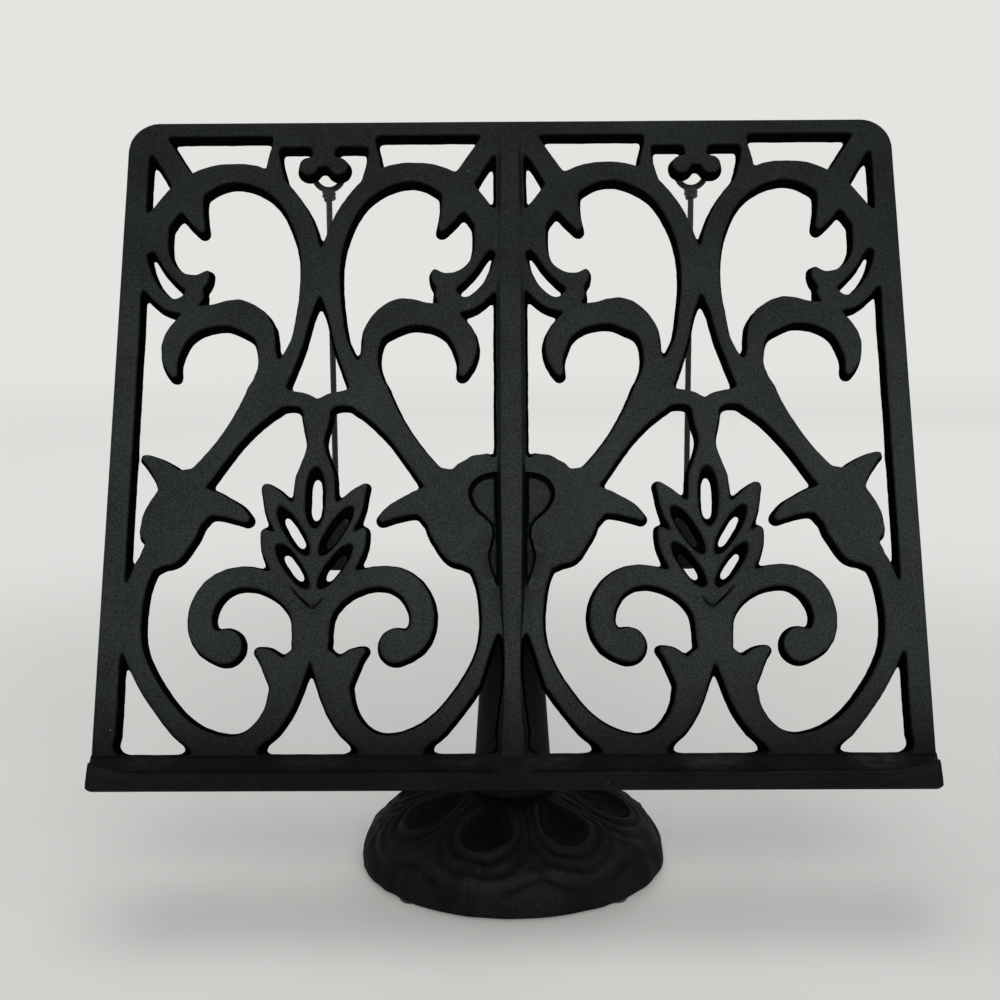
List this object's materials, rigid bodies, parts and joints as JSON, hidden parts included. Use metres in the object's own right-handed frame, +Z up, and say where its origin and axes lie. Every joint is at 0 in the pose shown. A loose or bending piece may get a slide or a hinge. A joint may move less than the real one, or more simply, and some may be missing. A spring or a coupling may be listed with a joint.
{
  "type": "cookbook stand",
  "caption": "Cast-iron cookbook stand: a scrolled fretwork book rest with a lipped shelf leans back on a tapered stem and a domed foot, and weighted cords hold the pages.",
  "frame": {"origin": "on the table, under the middle of the stand's width and depth", "axes": "+X to the viewer's right, +Y from the front to the back, +Z up"},
  "size_m": [0.29, 0.1267, 0.2767],
  "materials": {
    "iron": "satin black paint over sand-cast iron",
    "steel": "zinc-plated steel",
    "felt": "dense black felt",
    "cord": "black braided cord"
  },
  "bodies": {
    "stand": {"book_rest": "iron", "pedestal_stem": "iron", "pedestal_base": "iron", "rest_bolt": "steel", "rest_washer": "steel", "rest_lock_washer": "steel", "base_bolt": "steel", "base_washer": "steel", "base_lock_washer": "steel", "foot_pad_1": "felt", "foot_pad_2": "felt", "foot_pad_3": "felt", "foot_pad_4": "felt"},
    "left_page_cord": {"left_cord_loop": "cord", "left_cord": "cord", "left_page_weight": "iron", "left_end_knot": "cord"},
    "right_page_cord": {"right_cord_loop": "cord", "right_cord": "cord", "right_page_weight": "iron", "right_end_knot": "cord"}
  },
  "joints": [
    {"name": "left_cord_swing", "type": "hinge", "parent": "stand", "child": "left_page_cord", "pos_m": [-0.0705, 0.05724, 0.26381], "axis": [1, 0, 0], "range_deg": [-18, 160]},
    {"name": "right_cord_swing", "type": "hinge", "parent": "stand", "child": "right_page_cord", "pos_m": [0.0705, 0.05724, 0.26381], "axis": [1, 0, 0], "range_deg": [-18, 160]}
  ]
}
